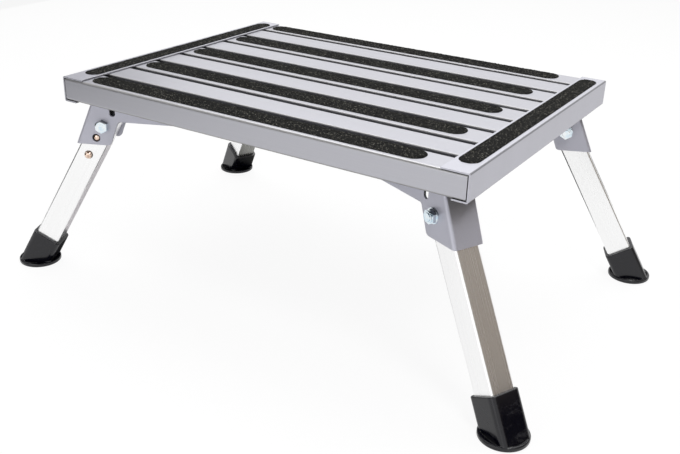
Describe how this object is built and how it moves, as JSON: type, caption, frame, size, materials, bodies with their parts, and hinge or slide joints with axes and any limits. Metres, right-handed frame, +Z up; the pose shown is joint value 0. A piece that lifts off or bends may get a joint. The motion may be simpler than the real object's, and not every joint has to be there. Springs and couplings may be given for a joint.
{
  "type": "folding entry step",
  "caption": "Low slatted aluminium step with black grip strips on splayed square-tube legs that fold in under the deck on snap-lock brackets and stand on swept rubber feet.",
  "frame": {"origin": "centre of the standing footprint, on the floor", "axes": "+X along the deck's long side, +Y from the front edge to the rear, +Z up"},
  "size_m": [0.649, 0.426, 0.2343],
  "materials": {
    "deck_aluminium": "brushed, satin anodised",
    "channel_aluminium": "satin sheet",
    "leg_aluminium": "satin drawn tube",
    "rivet_aluminium": "plain",
    "bracket_paint": "satin grey coat",
    "zinc_steel": "bright zinc plate",
    "spring_steel": "blued strip",
    "button_brass": "worn, copper toned",
    "grip_tape": "black grit",
    "foot_rubber": "semi-gloss black",
    "nylon": "black nylon"
  },
  "bodies": {
    "deck": {"front_rail": "deck_aluminium", "slat_1": "deck_aluminium", "slat_2": "deck_aluminium", "slat_3": "deck_aluminium", "slat_4": "deck_aluminium", "slat_5": "deck_aluminium", "slat_6": "deck_aluminium", "slat_7": "deck_aluminium", "rear_rail": "deck_aluminium", "end_channel_left": "channel_aluminium", "end_rivets_left": "rivet_aluminium", "end_channel_right": "channel_aluminium", "end_rivets_right": "rivet_aluminium", "long_grip_1": "grip_tape", "long_grip_2": "grip_tape", "long_grip_3": "grip_tape", "long_grip_4": "grip_tape", "long_grip_5": "grip_tape", "end_grip_left": "grip_tape", "end_grip_right": "grip_tape", "bracket_rivets": "rivet_aluminium", "leg_bracket_front_left": "bracket_paint", "pivot_bolt_front_left": "zinc_steel", "pivot_nut_front_left": "zinc_steel", "spacer_washers_front_left": "nylon", "leg_bracket_front_right": "bracket_paint", "pivot_bolt_front_right": "zinc_steel", "pivot_nut_front_right": "zinc_steel", "spacer_washers_front_right": "nylon", "leg_bracket_rear_right": "bracket_paint", "pivot_bolt_rear_right": "zinc_steel", "pivot_nut_rear_right": "zinc_steel", "spacer_washers_rear_right": "nylon", "leg_bracket_rear_left": "bracket_paint", "pivot_bolt_rear_left": "zinc_steel", "pivot_nut_rear_left": "zinc_steel", "spacer_washers_rear_left": "nylon"},
    "folding_leg_front_left": {"leg_front_left": "leg_aluminium", "foot_front_left": "foot_rubber", "snap_spring_front_left": "spring_steel"},
    "snap_buttons_front_left": {"lock_button_front_left": "button_brass", "release_button_front_left": "button_brass"},
    "folding_leg_front_right": {"leg_front_right": "leg_aluminium", "foot_front_right": "foot_rubber", "snap_spring_front_right": "spring_steel"},
    "snap_buttons_front_right": {"lock_button_front_right": "button_brass", "release_button_front_right": "button_brass"},
    "folding_leg_rear_right": {"leg_rear_right": "leg_aluminium", "foot_rear_right": "foot_rubber", "snap_spring_rear_right": "spring_steel"},
    "snap_buttons_rear_right": {"lock_button_rear_right": "button_brass", "release_button_rear_right": "button_brass"},
    "folding_leg_rear_left": {"leg_rear_left": "leg_aluminium", "foot_rear_left": "foot_rubber", "snap_spring_rear_left": "spring_steel"},
    "snap_buttons_rear_left": {"lock_button_rear_left": "button_brass", "release_button_rear_left": "button_brass"}
  },
  "joints": [
    {"name": "fold_front_left", "type": "hinge", "parent": "deck", "child": "folding_leg_front_left", "pos_m": [-0.2105, -0.148, 0.1806], "axis": [0.4147, -0.91, 0], "range_deg": [0, 117.1], "deforming": ["lock_button_front_left"]},
    {"name": "press_front_left", "type": "slide", "parent": "folding_leg_front_left", "child": "snap_buttons_front_left", "axis": [-0.4147, 0.91, 0], "range_m": [0, 0.0042], "stiffness_N_per_m": 2000, "springref_m": -0.002, "deforming": ["snap_spring_front_left"]},
    {"name": "fold_front_right", "type": "hinge", "parent": "deck", "child": "folding_leg_front_right", "pos_m": [0.2105, -0.148, 0.1806], "axis": [0.4147, 0.91, 0], "range_deg": [0, 117.1], "deforming": ["lock_button_front_right"]},
    {"name": "press_front_right", "type": "slide", "parent": "folding_leg_front_right", "child": "snap_buttons_front_right", "axis": [-0.4147, -0.91, 0], "range_m": [0, 0.0042], "stiffness_N_per_m": 2000, "springref_m": -0.002, "deforming": ["snap_spring_front_right"]},
    {"name": "fold_rear_right", "type": "hinge", "parent": "deck", "child": "folding_leg_rear_right", "pos_m": [0.2105, 0.148, 0.1806], "axis": [-0.4147, 0.91, 0], "range_deg": [0, 117.1], "deforming": ["lock_button_rear_right"]},
    {"name": "press_rear_right", "type": "slide", "parent": "folding_leg_rear_right", "child": "snap_buttons_rear_right", "axis": [0.4147, -0.91, 0], "range_m": [0, 0.0042], "stiffness_N_per_m": 2000, "springref_m": -0.002, "deforming": ["snap_spring_rear_right"]},
    {"name": "fold_rear_left", "type": "hinge", "parent": "deck", "child": "folding_leg_rear_left", "pos_m": [-0.2105, 0.148, 0.1806], "axis": [-0.4147, -0.91, 0], "range_deg": [0, 117.1], "deforming": ["lock_button_rear_left"]},
    {"name": "press_rear_left", "type": "slide", "parent": "folding_leg_rear_left", "child": "snap_buttons_rear_left", "axis": [0.4147, 0.91, 0], "range_m": [0, 0.0042], "stiffness_N_per_m": 2000, "springref_m": -0.002, "deforming": ["snap_spring_rear_left"]}
  ]
}
